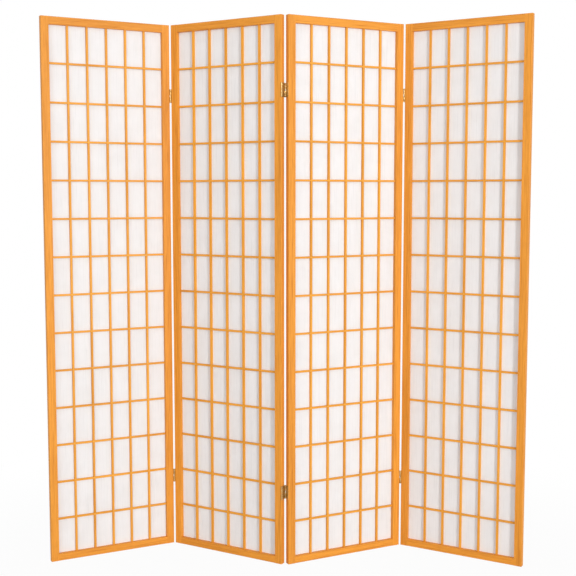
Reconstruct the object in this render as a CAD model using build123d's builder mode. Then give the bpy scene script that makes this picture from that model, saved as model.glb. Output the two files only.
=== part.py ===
"""Four-panel folding shoji screen: notched lattice, paper and two-way hinges, standing in a zigzag.

Units are millimetres. +Z is up, the lattice side faces -Y, and the origin is on the floor
under the middle of the standing screen.
"""

import os
from math import acos, cos, radians, sin

from build123d import *

# Panels
panel_count = 4
panel_height = 1784.0
panel_width = 432.0
panel_thickness = 19.0
stile_width = 25.4
top_rail_height = 25.4
bottom_rail_height = 23.6
arris_chamfer = 1.0

# Rail tenons, housed in the stiles
tenon_length = 14.0
tenon_thickness = 6.0
tenon_height = 15.0

# Lattice of thin bars: the crossbars lie flush in notches across the uprights, and the lowest row is shorter
column_count = 6
row_count = 14
bottom_pane_height = 114.5
bar_width = 6.35
lattice_setback = 5.5
lattice_depth = 7.5
crossbar_depth = 5.0

# Paper, glued behind the lattice in a rebate round the back of the frame
paper_thickness = 0.4
rebate_width = 6.0
paper_edge_gap = 1.0

# Two-way hinges: two edge leaves and a middle leaf on a front pin and a back pin
fold_angle = 57.0
panel_gap = 4.4
hinge_height = 45.0
upper_hinge_drop = 235.0
lower_hinge_rise = 241.0
leaf_thickness = 0.9
leaf_margin = 1.5
knuckle_opening = 7.0
curl_gap = 0.9
pin_stand_off = 1.2
pin_clearance = 0.05
leaf_play = 0.3

# Sizes that follow from the ones above
opening_width = panel_width - 2 * stile_width
opening_height = panel_height - top_rail_height - bottom_rail_height
pane_width = (opening_width - (column_count - 1) * bar_width) / column_count
pane_height = (opening_height - bottom_pane_height) / (row_count - 1) - bar_width
upright_places = [stile_width + pane_width + i * (pane_width + bar_width) for i in range(column_count - 1)]
lowest_crossbar = bottom_rail_height + bottom_pane_height
crossbar_places = [lowest_crossbar + i * (pane_height + bar_width) for i in range(row_count - 1)]
paper_front = lattice_setback + lattice_depth
rebate_depth = panel_thickness - paper_front
ledge = stile_width - rebate_width + paper_edge_gap
knuckle_radius = panel_gap / 2
curl_radius = knuckle_radius - leaf_thickness / 2
knuckle_curl = 360 - acos(1 - (leaf_thickness + curl_gap) / knuckle_radius) / radians(1)
pin_radius = knuckle_radius - leaf_thickness - pin_clearance
knuckle_length = (hinge_height - knuckle_opening) / 2
knuckle_reach = knuckle_radius - pin_stand_off + leaf_play
hinge_levels = [
    lower_hinge_rise - hinge_height / 2,
    panel_height - upper_hinge_drop - hinge_height / 2,
]
low = (Align.MIN, Align.MIN)


def turned(point, centre, degrees):
    """A floor point swung about a centre."""
    x, y = point[0] - centre[0], point[1] - centre[1]
    c, s = cos(radians(degrees)), sin(radians(degrees))
    return (centre[0] + x * c - y * s, centre[1] + x * s + y * c)


def spot(corner, degrees, along, behind):
    """The floor point that lies along and behind a panel's front corner."""
    return turned((corner[0] + along, corner[1] + behind), corner, degrees)


def frame_at(corner, degrees):
    """A level plane with X along a panel and Y towards its back."""
    direction = (cos(radians(degrees)), sin(radians(degrees)), 0)
    return Plane(origin=(corner[0], corner[1], 0), x_dir=direction, z_dir=(0, 0, 1))


def standing_layout():
    """Front left corners, angles and hinge places of the zigzag, panel by panel from the left."""
    corner, degrees = (0.0, 0.0), fold_angle / 2
    panels, hinges = [(corner, degrees)], []
    for i in range(panel_count - 1):
        edge = spot(corner, degrees, panel_width, 0)
        front_pin = spot(edge, degrees, knuckle_radius, -pin_stand_off)
        back_pin = spot(edge, degrees, knuckle_radius, panel_thickness + pin_stand_off)
        next_corner = spot(edge, degrees, panel_gap, 0)
        middle = (edge, degrees)
        if i % 2 == 0:
            turn = -fold_angle
            middle = (turned(edge, front_pin, turn), degrees + turn)
            back_pin = turned(back_pin, front_pin, turn)
            corner = turned(next_corner, front_pin, turn)
        else:
            turn = fold_angle
            corner = turned(next_corner, back_pin, turn)
        degrees = degrees + turn
        panels.append((corner, degrees))
        hinges.append((middle, front_pin, back_pin))
    return panels, hinges


def centred(panels, hinges):
    """The same layout, moved so that its outer box stands centred on the origin."""
    xs, ys = [], []
    for corner, degrees in panels:
        for along in (0, panel_width):
            for behind in (0, panel_thickness):
                x, y = spot(corner, degrees, along, behind)
                xs.append(x)
                ys.append(y)
    for middle, front_pin, back_pin in hinges:
        ys += [front_pin[1] - knuckle_radius, back_pin[1] + knuckle_radius]
    mx, my = (min(xs) + max(xs)) / 2, (min(ys) + max(ys)) / 2

    def move(point):
        return (point[0] - mx, point[1] - my)

    moved_panels = [(move(c), a) for c, a in panels]
    moved_hinges = [((move(m[0]), m[1]), move(f), move(b)) for m, f, b in hinges]
    return moved_panels, moved_hinges


def facing_along(plane, along):
    """A plane across a panel at a place along it, with X towards the back and Y up."""
    return Plane(origin=plane.from_local_coords((along, 0, 0)), x_dir=plane.y_dir, z_dir=plane.x_dir)


def save(block, name):
    block.part.label = name
    export_step(block.part, f"parts/{name}.step")


def make_stile(plane, name, first_rail, last_rail):
    """An upright frame member, with its outer edge at X zero and the first rail at the foot of the plane."""
    with BuildPart() as stile:
        with BuildSketch(plane) as section:
            Rectangle(stile_width, panel_thickness, align=low)
            chamfer(section.vertices().sort_by(Axis.X)[:2], length=arris_chamfer)
        extrude(amount=panel_height)
        with BuildSketch(plane.offset(first_rail - rebate_width)):
            with Locations((stile_width - rebate_width, paper_front)):
                Rectangle(rebate_width, rebate_depth, align=low)
        extrude(amount=opening_height + 2 * rebate_width, mode=Mode.SUBTRACT)
        mortise_levels = [
            (first_rail - tenon_height) / 2,
            panel_height - (last_rail + tenon_height) / 2,
        ]
        with BuildSketch(*[plane.offset(z) for z in mortise_levels]):
            with Locations((stile_width - tenon_length, (paper_front - tenon_thickness) / 2)):
                Rectangle(tenon_length, tenon_thickness, align=low)
        extrude(amount=tenon_height, mode=Mode.SUBTRACT)
    save(stile, name)


def make_rail(plane, name, rail_height):
    """A level frame member between the stiles, with its outer edge at Y zero of the plane."""
    with BuildPart() as rail:
        with BuildSketch(plane) as section:
            Rectangle(panel_thickness, rail_height, align=low)
            chamfer(section.vertices().sort_by(Axis.Y)[:2], length=arris_chamfer)
            with Locations((paper_front, rail_height - rebate_width)):
                Rectangle(rebate_depth, rebate_width, align=low, mode=Mode.SUBTRACT)
        extrude(amount=opening_width)
        with BuildSketch(plane.offset(-tenon_length)):
            with Locations(((paper_front - tenon_thickness) / 2, (rail_height - tenon_height) / 2)):
                Rectangle(tenon_thickness, tenon_height, align=low)
        extrude(amount=opening_width + 2 * tenon_length)
    save(rail, name)


def make_uprights(plane, name):
    """The upright lattice bars, notched across the front for the crossbars."""
    with BuildPart() as uprights:
        with BuildSketch(*[facing_along(plane, u) for u in upright_places]):
            with Locations((lattice_setback, bottom_rail_height)):
                Rectangle(lattice_depth, opening_height, align=low)
            with Locations(*[(lattice_setback, z) for z in crossbar_places]):
                Rectangle(crossbar_depth, bar_width, align=low, mode=Mode.SUBTRACT)
        extrude(amount=bar_width)
    save(uprights, name)


def make_crossbars(plane, name):
    """The level lattice bars, flush with the fronts of the uprights."""
    with BuildPart() as crossbars:
        with BuildSketch(*[plane.offset(z) for z in crossbar_places]):
            with Locations((stile_width, lattice_setback)):
                Rectangle(opening_width, crossbar_depth, align=low)
        extrude(amount=bar_width)
    save(crossbars, name)


def make_paper(plane, name):
    """One sheet, glued to the backs of the uprights and to the ledge of the rebate."""
    paper_lap = rebate_width - paper_edge_gap
    with BuildPart() as paper:
        with BuildSketch(plane.offset(bottom_rail_height - paper_lap)):
            with Locations((ledge, paper_front)):
                Rectangle(panel_width - 2 * ledge, paper_thickness, align=low)
        extrude(amount=opening_height + 2 * paper_lap)
    save(paper, name)


def make_edge_leaves(plane, name):
    """The leaves of the upper and lower hinge that are screwed to one panel's edge.

    X is out from the edge, Y runs from the face that carries the pin to the other face.
    Each is a strip with its lower half rolled into a knuckle.
    """
    plate_length = panel_thickness - leaf_margin
    levels = [plane.offset(z) for z in hinge_levels]
    with BuildPart() as leaves:
        with BuildSketch(*levels):
            with BuildLine():
                Line((leaf_thickness / 2, plate_length), (leaf_thickness / 2, -pin_stand_off))
                CenterArc((knuckle_radius, -pin_stand_off), curl_radius, 180, knuckle_curl)
            trace(line_width=leaf_thickness)
        extrude(amount=knuckle_length)
        with BuildSketch(*levels):
            with Locations((0, knuckle_reach)):
                Rectangle(leaf_thickness, plate_length - knuckle_reach, align=low)
        extrude(amount=hinge_height)
    save(leaves, name)


def make_middle_leaves(plane, name):
    """The leaves between the two pins, with a centred knuckle rolled from the upper half at either side."""
    front, back = -pin_stand_off, panel_thickness + pin_stand_off
    with BuildPart() as leaves:
        with BuildSketch(*[plane.offset(z) for z in hinge_levels]):
            with Locations((knuckle_radius - leaf_thickness / 2, knuckle_reach)):
                Rectangle(leaf_thickness, panel_thickness - 2 * knuckle_reach, align=low)
        extrude(amount=hinge_height)
        with BuildSketch(*[plane.offset(z + hinge_height - knuckle_length) for z in hinge_levels]):
            with BuildLine():
                CenterArc((knuckle_radius, front), curl_radius, 90, -knuckle_curl)
                CenterArc((knuckle_radius, back), curl_radius, -90, -knuckle_curl)
            trace(line_width=leaf_thickness)
            with Locations((knuckle_radius - leaf_thickness / 2, front + curl_radius)):
                Rectangle(leaf_thickness, back - front - 2 * curl_radius, align=low)
        extrude(amount=knuckle_length)
    save(leaves, name)


def make_pins(place, name):
    """The pins of the upper and lower hinge on one axis."""
    with BuildPart() as pins:
        with BuildSketch(*[frame_at(place, 0).offset(z) for z in hinge_levels]):
            Circle(pin_radius)
        extrude(amount=hinge_height)
    save(pins, name)


os.makedirs("parts", exist_ok=True)
panels, hinges = centred(*standing_layout())

for number, (corner, degrees) in enumerate(panels, start=1):
    panel = frame_at(corner, degrees)
    across = facing_along(panel, stile_width)
    top = Plane(
        origin=panel.from_local_coords((panel_width - stile_width, 0, panel_height)),
        x_dir=panel.y_dir,
        z_dir=-panel.x_dir,
    )
    far_panel = Plane(
        origin=panel.from_local_coords((panel_width, 0, panel_height)),
        x_dir=-panel.x_dir,
        z_dir=-panel.z_dir,
    )
    make_stile(panel, f"panel_{number}_left_stile", bottom_rail_height, top_rail_height)
    make_stile(far_panel, f"panel_{number}_right_stile", top_rail_height, bottom_rail_height)
    make_rail(across, f"panel_{number}_bottom_rail", bottom_rail_height)
    make_rail(top, f"panel_{number}_top_rail", top_rail_height)
    make_uprights(panel, f"panel_{number}_uprights")
    make_crossbars(panel, f"panel_{number}_crossbars")
    make_paper(panel, f"panel_{number}_paper")

for number, (middle, front_pin, back_pin) in enumerate(hinges, start=1):
    pair = f"hinges_{number}_{number + 1}"
    left_corner, left_degrees = panels[number - 1]
    right_corner, right_degrees = panels[number]
    left_edge = frame_at(spot(left_corner, left_degrees, panel_width, 0), left_degrees)
    right_edge = frame_at(spot(right_corner, right_degrees, 0, panel_thickness), right_degrees + 180)
    make_edge_leaves(left_edge, f"{pair}_left_leaves")
    make_middle_leaves(frame_at(*middle), f"{pair}_middle_leaves")
    make_edge_leaves(right_edge, f"{pair}_right_leaves")
    make_pins(front_pin, f"{pair}_front_pins")
    make_pins(back_pin, f"{pair}_back_pins")
    print(pair, "front pin", [round(v, 6) for v in front_pin], "back pin", [round(v, 6) for v in back_pin])
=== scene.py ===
# %% [markdown]
# # Dressing a folding shoji screen
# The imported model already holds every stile, rail, lattice bar, paper sheet and hinge leaf in its true place.
# This lesson gives them their finishes, adds the small screws of the hinges, and sets up light and camera.
# All lengths are in metres, with Z up and the lattice side facing -Y.

# %% load the frame
from math import atan2, cos, degrees, radians, sin

import bpy
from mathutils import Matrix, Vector


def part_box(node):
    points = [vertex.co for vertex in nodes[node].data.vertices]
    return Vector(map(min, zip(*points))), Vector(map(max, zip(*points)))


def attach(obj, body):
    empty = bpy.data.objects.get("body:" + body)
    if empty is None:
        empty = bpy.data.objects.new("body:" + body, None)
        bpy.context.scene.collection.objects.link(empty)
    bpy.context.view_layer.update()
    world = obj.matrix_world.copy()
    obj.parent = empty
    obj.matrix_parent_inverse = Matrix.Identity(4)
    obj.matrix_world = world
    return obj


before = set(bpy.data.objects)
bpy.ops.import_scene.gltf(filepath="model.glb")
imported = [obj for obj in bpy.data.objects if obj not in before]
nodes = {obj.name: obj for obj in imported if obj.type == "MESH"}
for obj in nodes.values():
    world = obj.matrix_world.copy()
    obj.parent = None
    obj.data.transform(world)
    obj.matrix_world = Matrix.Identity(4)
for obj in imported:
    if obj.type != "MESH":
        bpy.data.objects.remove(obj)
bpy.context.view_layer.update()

MM = 0.001


def rounded(values, digits=3):
    return [round(value, digits) for value in values]


# %% [markdown]
# ## Which way each panel runs
# Wood grain follows the length of a member, so the finish has to know how each panel is turned.
# The turn could be typed in, but reading it from the stiles keeps it right if the screen is packed again
# in another zigzag.

# %% read the panels' turns
panel_numbers = [1, 2, 3, 4]


def middle(node):
    low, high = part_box(node)
    return (low + high) / 2


turn = {}
for number in panel_numbers:
    run = middle(f"panel_{number}_right_stile") - middle(f"panel_{number}_left_stile")
    turn[number] = atan2(run.y, run.x)
    print("panel", number, "is turned", round(degrees(turn[number]), 2), "degrees")

# %% [markdown]
# ## Helpers for node materials
# Each finish is a small node tree on Object coordinates. The pieces all sit at the origin, so these are
# places in the room, and a pattern runs on from one piece to the next without stretching.
# A Mapping node of the Texture type turns and divides: its scale reads as the size of one grain of the
# pattern. The nodes could be wired by hand in each material, but a few helpers keep the finishes short.

# %% node helpers
def new_material(name):
    material = bpy.data.materials.new(name)
    material.use_nodes = True
    return material, material.node_tree, material.node_tree.nodes["Principled BSDF"]


def add(tree, kind, sockets=None, **settings):
    """A node with its sockets fed: a socket's value is a constant or another node's output."""
    node = tree.nodes.new(kind)
    for key, value in settings.items():
        setattr(node, key, value)
    for socket, value in (sockets or {}).items():
        if isinstance(value, bpy.types.NodeSocket):
            tree.links.new(value, node.inputs[socket])
        else:
            node.inputs[socket].default_value = value
    return node


def calculate(tree, operation, *values):
    """The result of a Math node."""
    return add(tree, "ShaderNodeMath", dict(enumerate(values)), operation=operation).outputs[0]


def rescaled(tree, value, span, results, interpolation="LINEAR"):
    """The value, carried from one span of numbers to another."""
    limits = {"From Min": span[0], "From Max": span[1], "To Min": results[0], "To Max": results[1]}
    sockets = {"Value": value, **limits}
    return add(tree, "ShaderNodeMapRange", sockets, interpolation_type=interpolation).outputs[0]


print("node helpers ready")

# %% pattern helpers
white = (1.0, 1.0, 1.0)


def scaled(colour, share):
    return [share * channel for channel in colour]


def grain_noise(tree, turned, sizes, detail=3.0, roughness=0.6, distortion=0.0):
    """Noise whose grains have these sizes along, across and up a panel."""
    place = tree.nodes.get("Texture Coordinate") or tree.nodes.new("ShaderNodeTexCoord")
    mapping = add(
        tree,
        "ShaderNodeMapping",
        {"Vector": place.outputs["Object"], "Rotation": (0, 0, turned), "Scale": sizes},
        vector_type="TEXTURE",
    )
    noise = add(
        tree,
        "ShaderNodeTexNoise",
        {
            "Vector": mapping.outputs[0],
            "Scale": 1.0,
            "Detail": detail,
            "Roughness": roughness,
            "Distortion": distortion,
        },
    )
    return noise.outputs[0]


def ramp(tree, factor, stops, colours):
    """A colour ramp with a colour at each stop."""
    node = add(tree, "ShaderNodeValToRGB", {"Fac": factor})
    elements = node.color_ramp.elements
    while len(elements) < len(stops):
        elements.new(1.0)
    for element, stop, colour in zip(elements, stops, colours):
        element.position = stop
        element.color = (*colour, 1.0)
    return node.outputs[0]


def blend_colours(tree, factor, first, second, kind="MIX"):
    sockets = {0: factor, 6: first, 7: second}
    return add(tree, "ShaderNodeMix", sockets, data_type="RGBA", blend_type=kind).outputs[2]


def tinted(tree, colour, noise, span, tint):
    """The colour, multiplied by the tint where the noise is low and left alone where it is high."""
    return blend_colours(tree, 1.0, colour, ramp(tree, noise, span, (tint, white)), "MULTIPLY")


print("pattern helpers ready")

# %% surface helpers
def relief(tree, shader, height, depth, strength):
    """Bump of this depth on a shader."""
    bump = add(tree, "ShaderNodeBump", {"Strength": strength, "Distance": depth, "Height": height})
    tree.links.new(bump.outputs[0], shader.inputs["Normal"])


def show_mix(tree, output, factor, first, second):
    """Sends a mix of two shaders to the tree's output node."""
    mixed = add(tree, "ShaderNodeMixShader", {0: factor, 1: first, 2: second})
    tree.links.new(mixed.outputs[0], tree.nodes[output].inputs["Surface"])


def dress(node, material):
    nodes[node].data.materials.clear()
    nodes[node].data.materials.append(material)


print("surface helpers ready")

# %% [markdown]
# ## Honey-stained wood
# The frame and lattice are a pale softwood under a honey stain and a satin varnish. The stain sinks deeper
# into the soft early wood, so a board shows fine streaks along its length, and each member takes it a little
# differently. The sawn ends of the stiles drink more of it and come out darker. Three noises give this: long
# streaks for the year rings, hair-fine fibres for colour and bump, and a slow one that differs from bar to
# bar. An image of wood would repeat and smear on the edges, and these do not.

# %% wood values
streak_size, streak_stops, streak_gleam = (140 * MM, 3.0 * MM), (0.30, 0.52, 0.75), 1.06
member_size, member_span, member_tint = (900 * MM, 46 * MM), (0.30, 0.70), (0.86, 0.82, 0.78)
fibre_size, fibre_span, fibre_tint = (40 * MM, 0.5 * MM), (0.34, 0.56), (0.84, 0.79, 0.72)
fibre_depth, fibre_relief = 0.1 * MM, 0.25
end_grain, end_grain_span, end_grain_gleam = (0.40, 0.17, 0.035), (0.35, 0.65), 1.35
sawn_slope = 0.9
varnish_span, varnish_roughness, varnish_shine = (0.3, 0.7), (0.6, 0.46), 0.25
print("streaks", rounded(streak_size, 4), "and fibres", rounded(fibre_size, 4), "m long and wide")

# %% wood finish
def along_grain(size, upright):
    """Grain sizes along, across and up a panel, for a member that stands or lies."""
    long, across = size
    return (across, across, long) if upright else (long, across, across)


def sawn_ends(tree, colour, fibres):
    """The colour, with darker end grain on the faces that look straight up or down."""
    normal = add(tree, "ShaderNodeNewGeometry").outputs["True Normal"]
    upward = add(tree, "ShaderNodeSeparateXYZ", {"Vector": normal}).outputs["Z"]
    sawn = calculate(tree, "GREATER_THAN", calculate(tree, "ABSOLUTE", upward), sawn_slope)
    rings = ramp(tree, fibres, end_grain_span, (end_grain, scaled(end_grain, end_grain_gleam)))
    return blend_colours(tree, sawn, colour, rings)


def honey_wood(name, light, dark, turned, upright):
    material, tree, shader = new_material(name)
    along_streaks = along_grain(streak_size, upright)
    streaks = grain_noise(tree, turned, along_streaks, detail=4.0, roughness=0.55, distortion=0.6)
    fibres = grain_noise(tree, turned, along_grain(fibre_size, upright), detail=2.0)
    member = grain_noise(tree, turned, along_grain(member_size, upright), detail=1.0)
    colour = ramp(tree, streaks, streak_stops, (dark, light, scaled(light, streak_gleam)))
    colour = tinted(tree, colour, member, member_span, member_tint)
    colour = tinted(tree, colour, fibres, fibre_span, fibre_tint)
    if upright:
        colour = sawn_ends(tree, colour, fibres)
    tree.links.new(colour, shader.inputs["Base Color"])
    satin = rescaled(tree, streaks, varnish_span, varnish_roughness)
    tree.links.new(satin, shader.inputs["Roughness"])
    relief(tree, shader, fibres, fibre_depth, fibre_relief)
    shader.inputs["Specular IOR Level"].default_value = varnish_shine
    return material


print("wood finish ready")

# %% put on the wood
frame_light, frame_dark = (0.887, 0.365, 0.0434), (0.701, 0.250, 0.0244)
bar_light, bar_dark = (0.907, 0.405, 0.0434), (0.742, 0.297, 0.0265)
wooden = {
    "frame upright": (frame_light, frame_dark, True, ["left_stile", "right_stile"]),
    "frame level": (frame_light, frame_dark, False, ["top_rail", "bottom_rail"]),
    "lattice uprights": (bar_light, bar_dark, True, ["uprights"]),
    "lattice crossbars": (bar_light, bar_dark, False, ["crossbars"]),
}
for number in panel_numbers:
    wood_count = 0
    for name, (light, dark, upright, pieces) in wooden.items():
        finish = honey_wood(f"honey {name} {number}", light, dark, turn[number], upright)
        for piece in pieces:
            dress(f"panel_{number}_{piece}", finish)
        wood_count += len(pieces)
    print("panel", number, "has wood on", wood_count, "pieces")

# %% [markdown]
# ## Shoji paper
# The sheet is a stiff, cloudy white paper with long fibres. Some of the light that falls on it comes out on
# the other side, so from behind the bars show as a faint grid. A Translucent shader mixed into the plain one
# does that, which a white paint would not.

# %% paper
paper_white, paper_shade = (0.914, 0.907, 0.909), (0.862, 0.855, 0.857)
paper_fibre_size, paper_fibre_span = (110 * MM, 3.4 * MM), (0.32, 0.50)
cloud_size, cloud_span, cloud_tint = 60 * MM, (0.30, 0.65), (0.97, 0.965, 0.96)
paper_depth, paper_relief = 0.05 * MM, 0.15
paper_roughness, paper_shine, paper_through = 0.85, 0.2, 0.22


def shoji_paper(name, turned):
    material, tree, shader = new_material(name)
    along_fibres = along_grain(paper_fibre_size, True)
    fibres = grain_noise(tree, turned, along_fibres, detail=4.0, roughness=0.65, distortion=0.8)
    clouds = grain_noise(tree, turned, (cloud_size,) * 3, detail=3.0)
    colour = ramp(tree, fibres, paper_fibre_span, (paper_shade, paper_white))
    colour = tinted(tree, colour, clouds, cloud_span, cloud_tint)
    tree.links.new(colour, shader.inputs["Base Color"])
    shader.inputs["Roughness"].default_value = paper_roughness
    shader.inputs["Specular IOR Level"].default_value = paper_shine
    relief(tree, shader, fibres, paper_depth, paper_relief)
    through = add(tree, "ShaderNodeBsdfTranslucent", {"Color": colour})
    show_mix(tree, "Material Output", paper_through, shader.outputs[0], through.outputs[0])
    return material


for number in panel_numbers:
    dress(f"panel_{number}_paper", shoji_paper(f"shoji paper {number}", turn[number]))
print("paper on", len(panel_numbers), "sheets")

# %% [markdown]
# ## Antique brass
# The hinges are rolled from brass strip and darkened. Handling polishes them lighter again, in patches.
# One even gold would look like plastic, so a cloudy noise moves both colour and roughness between the dark
# and the rubbed metal.

# %% brass
brass_dark, brass_rubbed = (0.34, 0.20, 0.065), (0.74, 0.52, 0.23)
brass_patch, brass_speck = 7 * MM, 0.8 * MM
brass_tone_span = (0.35, 0.62)
brass_polish_span, brass_roughness = (0.35, 0.65), (0.55, 0.32)
brass_depth, brass_relief = 0.03 * MM, 0.2


def antique_brass(name, dark, rubbed):
    material, tree, shader = new_material(name)
    patches = grain_noise(tree, 0.0, (brass_patch,) * 3, detail=5.0, roughness=0.65, distortion=0.4)
    specks = grain_noise(tree, 0.0, (brass_speck,) * 3, detail=2.0)
    colour = ramp(tree, patches, brass_tone_span, (dark, rubbed))
    tree.links.new(colour, shader.inputs["Base Color"])
    dull = rescaled(tree, patches, brass_polish_span, brass_roughness)
    tree.links.new(dull, shader.inputs["Roughness"])
    relief(tree, shader, specks, brass_depth, brass_relief)
    shader.inputs["Metallic"].default_value = 1.0
    return material


hinge_brass = antique_brass("antique brass", brass_dark, brass_rubbed)
hinge_nodes = [name for name in nodes if name.startswith("hinges")]
for name in hinge_nodes:
    dress(name, hinge_brass)
print("brass on", len(hinge_nodes), "pieces")

# %% [markdown]
# ## Where the hinge screws sit
# Every edge leaf is held by two small cross-slot screws, sunk almost flush so that the leaves close over
# them. Their places could be measured and typed in. Here they are read from the leaves: at the top of a leaf
# only its flat plate is left, and its corners say where the plate is and which way it faces.

# %% find the screw places
screw_height_shares = [0.2, 0.8]
same_level = 0.01 * MM


def leaf_plates(node):
    """(bottom, top, points at the top) of the flat plate of each of the two leaves in a node."""
    points = [v.co for v in nodes[node].data.vertices]
    between = middle(node).z
    for leaf in ([p for p in points if p.z < between], [p for p in points if p.z > between]):
        top = max(p.z for p in leaf)
        yield min(p.z for p in leaf), top, [p for p in leaf if top - p.z < same_level]


def screw_places(node, outward):
    for bottom, top, corners in leaf_plates(node):
        face = max(c.dot(outward) for c in corners)
        centre = (Vector(map(min, *corners)) + Vector(map(max, *corners))) / 2
        centre += outward * (face - centre.dot(outward))
        for share in screw_height_shares:
            yield Vector((centre.x, centre.y, bottom + share * (top - bottom)))


screw_seats = {}
for number in panel_numbers:
    run = Vector((cos(turn[number]), sin(turn[number]), 0))
    seats = []
    if number > panel_numbers[0]:
        leaves = f"hinges_{number - 1}_{number}_right_leaves"
        seats += [(place, -run) for place in screw_places(leaves, -run)]
    if number < panel_numbers[-1]:
        leaves = f"hinges_{number}_{number + 1}_left_leaves"
        seats += [(place, run) for place in screw_places(leaves, run)]
    screw_seats[number] = seats
    print("panel", number, "has", len(seats), "screws")

# %% [markdown]
# ## One tree for all the screws
# A screw head is a low cone with two crossed slots cut into its top. Twenty-four heads could be copied by
# hand, but one Geometry Nodes tree makes a head and sets it on each place it is given, turned as far as it
# happened to be driven. The tree also marks the slot floors with an attribute, so that painted shade can
# darken them where a deep recess would lie in shade.

# %% screw head
head_radius, head_height, slot_width = 2.9 * MM, 0.35 * MM, 0.8 * MM
head_sides, rim_share, slot_length_share = 20, 0.8, 1.1
slot_floor_slope, slot_floor_share = 0.95, 0.75


def up_part(tree, kind):
    """The Z part of a vector that every face has, such as its place or its normal."""
    return add(tree, "ShaderNodeSeparateXYZ", {"Vector": add(tree, kind).outputs[0]}).outputs["Z"]


def marked_slots(tree, head, height):
    """The head, with 1 in the attribute slot on level faces below its top, where painted shade goes."""
    level = calculate(tree, "GREATER_THAN", up_part(tree, "GeometryNodeInputNormal"), slot_floor_slope)
    limit = calculate(tree, "MULTIPLY", height, slot_floor_share)
    low = calculate(tree, "LESS_THAN", up_part(tree, "GeometryNodeInputPosition"), limit)
    sockets = {"Geometry": head, "Name": "slot", "Value": calculate(tree, "MULTIPLY", level, low)}
    return add(tree, "GeometryNodeStoreNamedAttribute", sockets, data_type="FLOAT", domain="FACE").outputs[0]


def slotted_head(tree, radius, height, width):
    """A low cone with two crossed slots cut half way down into it."""
    rim = calculate(tree, "MULTIPLY", radius, rim_share)
    sizes = {"Vertices": head_sides, "Radius Top": rim, "Radius Bottom": radius, "Depth": height}
    cone = add(tree, "GeometryNodeMeshCone", sizes).outputs["Mesh"]
    cut = add(tree, "GeometryNodeMeshBoolean", {"Mesh 1": cone}, operation="DIFFERENCE")
    length = calculate(tree, "MULTIPLY", radius, slot_length_share)
    raised = add(tree, "ShaderNodeCombineXYZ", {"Z": height}).outputs[0]
    for x, y in ((length, width), (width, length)):
        size = add(tree, "ShaderNodeCombineXYZ", {"X": x, "Y": y, "Z": height}).outputs[0]
        box = add(tree, "GeometryNodeMeshCube", {"Size": size}).outputs[0]
        slot = add(tree, "GeometryNodeTransform", {"Geometry": box, "Translation": raised})
        tree.links.new(slot.outputs[0], cut.inputs["Mesh 2"])
    return marked_slots(tree, cut.outputs[0], height)


print("heads", round(2 * head_radius / MM, 2), "mm across")

# %% screw tree
screw_seed = 4
quarter_turn = radians(90)
screw_inputs = {
    "Places": "NodeSocketGeometry",
    "Head radius": "NodeSocketFloat",
    "Head height": "NodeSocketFloat",
    "Slot width": "NodeSocketFloat",
    "Metal": "NodeSocketMaterial",
}


def driven_turn(tree):
    """A rotation that faces a screw outwards and leaves its slots at some angle."""
    facing = add(tree, "GeometryNodeInputNamedAttribute", {"Name": "outward"}, data_type="FLOAT_VECTOR")
    aligned = add(tree, "FunctionNodeAlignRotationToVector", {"Vector": facing.outputs[0]}, axis="Z")
    limits = {2: 0.0, 3: quarter_turn, "Seed": screw_seed}
    angle = add(tree, "FunctionNodeRandomValue", limits, data_type="FLOAT").outputs[1]
    spin = add(tree, "FunctionNodeAxisAngleToRotation", {"Axis": (0, 0, 1), "Angle": angle})
    both = {"Rotation": aligned.outputs[0], "Rotate By": spin.outputs[0]}
    return add(tree, "FunctionNodeRotateRotation", both, rotation_space="LOCAL").outputs[0]


def screw_tree():
    tree = bpy.data.node_groups.new("cross-slot screws", "GeometryNodeTree")
    for name, kind in screw_inputs.items():
        tree.interface.new_socket(name, in_out="INPUT", socket_type=kind)
    tree.interface.new_socket("Screws", in_out="OUTPUT", socket_type="NodeSocketGeometry")
    given = tree.nodes.new("NodeGroupInput").outputs
    head = slotted_head(tree, given["Head radius"], given["Head height"], given["Slot width"])
    seated = {"Points": given["Places"], "Instance": head, "Rotation": driven_turn(tree)}
    set_down = add(tree, "GeometryNodeInstanceOnPoints", seated).outputs[0]
    real = add(tree, "GeometryNodeRealizeInstances", {"Geometry": set_down}).outputs[0]
    dressed = add(tree, "GeometryNodeSetMaterial", {"Geometry": real, "Material": given["Metal"]})
    tree.links.new(dressed.outputs[0], tree.nodes.new("NodeGroupOutput").inputs[0])
    return tree


screws = screw_tree()
print("screw tree has", len(screws.nodes), "nodes")

# %% [markdown]
# ## Screws on their leaves
# The screws are the same brass, rubbed bright by the driver. The slot floors get painted shade, a near-black
# that stands in for the shade inside a deep recess. A second material could fill the slots, but the
# attribute that the tree stored does it within one: where it is 1, the metal turns dark. Each panel's screws
# are one mesh, because they all move with that panel.

# %% screw metal
# Painted shade for the slot floors: a near-black that stands in for the shade of a deep recess.
slot_painted_shade = (0.05, 0.03, 0.012)
screw_dark_share = 0.7


def slotted_brass(name):
    """Rubbed brass with painted shade where the mesh is marked as the floor of a slot."""
    material = antique_brass(name, scaled(brass_rubbed, screw_dark_share), brass_rubbed)
    tree = material.node_tree
    shown = tree.nodes["Principled BSDF"].inputs["Base Color"]
    in_slot = add(tree, "ShaderNodeAttribute", attribute_name="slot").outputs["Fac"]
    # Painted shade is mixed in over the slot floors.
    painted_shade_colour = blend_colours(tree, in_slot, shown.links[0].from_socket, (*slot_painted_shade, 1.0))
    tree.links.new(painted_shade_colour, shown)
    return material


screw_brass = slotted_brass("rubbed screw brass")
print("screw metal has", len(screw_brass.node_tree.nodes), "nodes")

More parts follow.
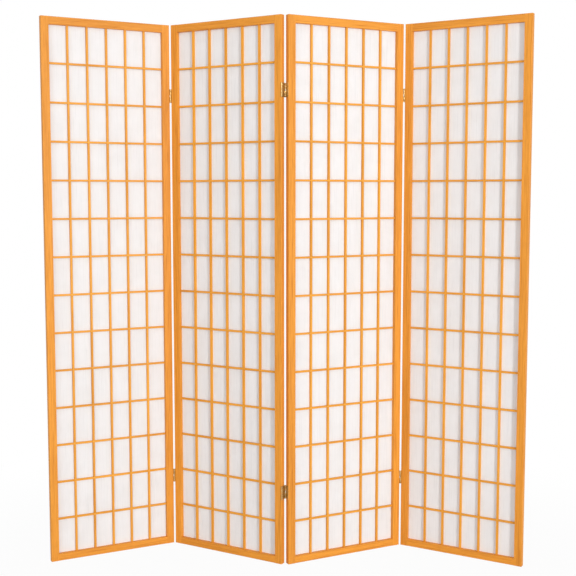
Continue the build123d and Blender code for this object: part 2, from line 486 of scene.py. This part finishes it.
# %% set the screws
def tree_mesh(name, seats, tree, values):
    """A plain mesh made by a node tree from points that know which way they face."""
    points = bpy.data.meshes.new(name + " places")
    points.from_pydata([place for place, out in seats], [], [])
    outward = points.attributes.new("outward", "FLOAT_VECTOR", "POINT")
    for item, (place, out) in zip(outward.data, seats):
        item.vector = out
    maker = bpy.data.objects.new(name + " maker", points)
    bpy.context.scene.collection.objects.link(maker)
    modifier = maker.modifiers.new("tree", "NODES")
    modifier.node_group = tree
    for item in tree.interface.items_tree:
        if item.in_out == "INPUT" and item.name in values:
            modifier[item.identifier] = values[item.name]
    evaluated = maker.evaluated_get(bpy.context.evaluated_depsgraph_get())
    mesh = bpy.data.meshes.new_from_object(evaluated)
    mesh.name = name
    maker.modifiers.clear()
    bpy.data.objects.remove(maker)
    made = bpy.data.objects.new(name, mesh)
    bpy.context.scene.collection.objects.link(made)
    return made


screw_values = {
    "Head radius": head_radius,
    "Head height": head_height,
    "Slot width": slot_width,
    "Metal": screw_brass,
}
for number in panel_numbers:
    heads = tree_mesh(f"panel_{number}_hinge_screws", screw_seats[number], screws, screw_values)
    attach(heads, f"panel_{number}")
    print(heads.name, len(heads.data.polygons), "faces")

# %% [markdown]
# ## Floor and light
# The screen stands in a white studio. A lamp at the front right lights the panels that face it, and draws
# narrow shadows beside the bars of the others. It hangs low, so that almost none fall under the crossbars.
# A broad lamp at the front left fills in without shadows of its own, one behind shines through the paper, and
# the room's own light does the rest. The floor is plain and matte near the screen, so that it takes the
# shadow, and fades into the white background further out.

# %% floor
floor_size, floor_near, floor_far = 60.0, 0.7, 1.7
floor_grey, floor_roughness, floor_white_share = 0.55, 0.9, 0.955


def white_for_camera(tree):
    """1 for rays straight from the camera, a mirror or glass, and 0 for light that bounces about."""
    path = tree.nodes.new("ShaderNodeLightPath").outputs
    seen = calculate(tree, "MAXIMUM", path["Is Camera Ray"], path["Is Glossy Ray"])
    return calculate(tree, "MAXIMUM", seen, path["Is Transmission Ray"])


def studio_floor():
    material, tree, shader = new_material("studio floor")
    shader.inputs["Base Color"].default_value = (floor_grey, floor_grey, floor_grey, 1.0)
    shader.inputs["Roughness"].default_value = floor_roughness
    shader.inputs["Specular IOR Level"].default_value = 0.0
    place = tree.nodes.new("ShaderNodeTexCoord").outputs["Object"]
    away = add(tree, "ShaderNodeVectorMath", {0: place}, operation="LENGTH").outputs["Value"]
    fade = rescaled(tree, away, (floor_near, floor_far), (floor_white_share, 1.0), "SMOOTHSTEP")
    share = calculate(tree, "MULTIPLY", fade, white_for_camera(tree))
    bright = add(tree, "ShaderNodeEmission", {"Color": (*white, 1.0), "Strength": 1.0})
    show_mix(tree, "Material Output", share, shader.outputs[0], bright.outputs[0])
    return material


bpy.ops.mesh.primitive_plane_add(size=floor_size)
floor = bpy.context.object
floor.name = "studio_floor"
floor.data.materials.append(studio_floor())
print("floor", floor_size, "m square")

# %% room light
room_strength, room_tint = 0.6, (1.0, 0.985, 0.97)
world = bpy.data.worlds.new("white studio")
bpy.context.scene.world = world
world.use_nodes = True
room = world.node_tree.nodes["Background"]
room.inputs["Color"].default_value = (*room_tint, 1.0)
room.inputs["Strength"].default_value = room_strength
backdrop = add(world.node_tree, "ShaderNodeBackground", {"Color": (*white, 1.0), "Strength": 1.0})
seen = white_for_camera(world.node_tree)
show_mix(world.node_tree, "World Output", seen, room.outputs[0], backdrop.outputs[0])
print("room light", room_strength)

# %% lamps
lamp_target = Vector((0, 0, 0.9))
lamps = {
    "front right softbox": (Vector((5.05, -7.78, 1.9)), 1.6, 460.0),
    "broad front fill": (Vector((-2.95, -6.33, 1.5)), 6.0, 128.0),
    "broad back light": (Vector((1.6, 6.4, 1.9)), 5.0, 130.0),
}


def soft_lamp(name, place, target, size, power):
    lamp = bpy.data.lights.new(name, "AREA")
    lamp.shape, lamp.size, lamp.energy = "DISK", size, power
    holder = bpy.data.objects.new(name, lamp)
    bpy.context.scene.collection.objects.link(holder)
    holder.location = place
    holder.rotation_euler = (target - place).to_track_quat("-Z", "Y").to_euler()
    holder.visible_camera = False


for name, (place, size, power) in lamps.items():
    soft_lamp(name, place, lamp_target, size, power)
    print(name, size, "m across,", power, "W")

# %% [markdown]
# ## Camera
# The photograph was taken at chest height from straight in front, a little to the right of the middle, with a
# medium-long lens that looks slightly down. A camera could be placed by eye, but these values were found by
# matching the corners of the panels. The Standard view shows colours as they are written.

# %% camera
camera_place = Vector((0.1058, -3.4065, 1.2164))
camera_turn, camera_tilt = radians(1.669), radians(5.179)
lens, film_width = 64.16, 36.0
camera = bpy.data.objects.new("camera", bpy.data.cameras.new("camera"))
bpy.context.scene.collection.objects.link(camera)
camera.location = camera_place
camera.rotation_euler = (radians(90) - camera_tilt, 0, camera_turn)
camera.data.sensor_width, camera.data.lens = film_width, lens
bpy.context.scene.camera = camera
bpy.context.scene.view_settings.view_transform = "Standard"
print("camera", rounded(camera_place), "lens", lens)
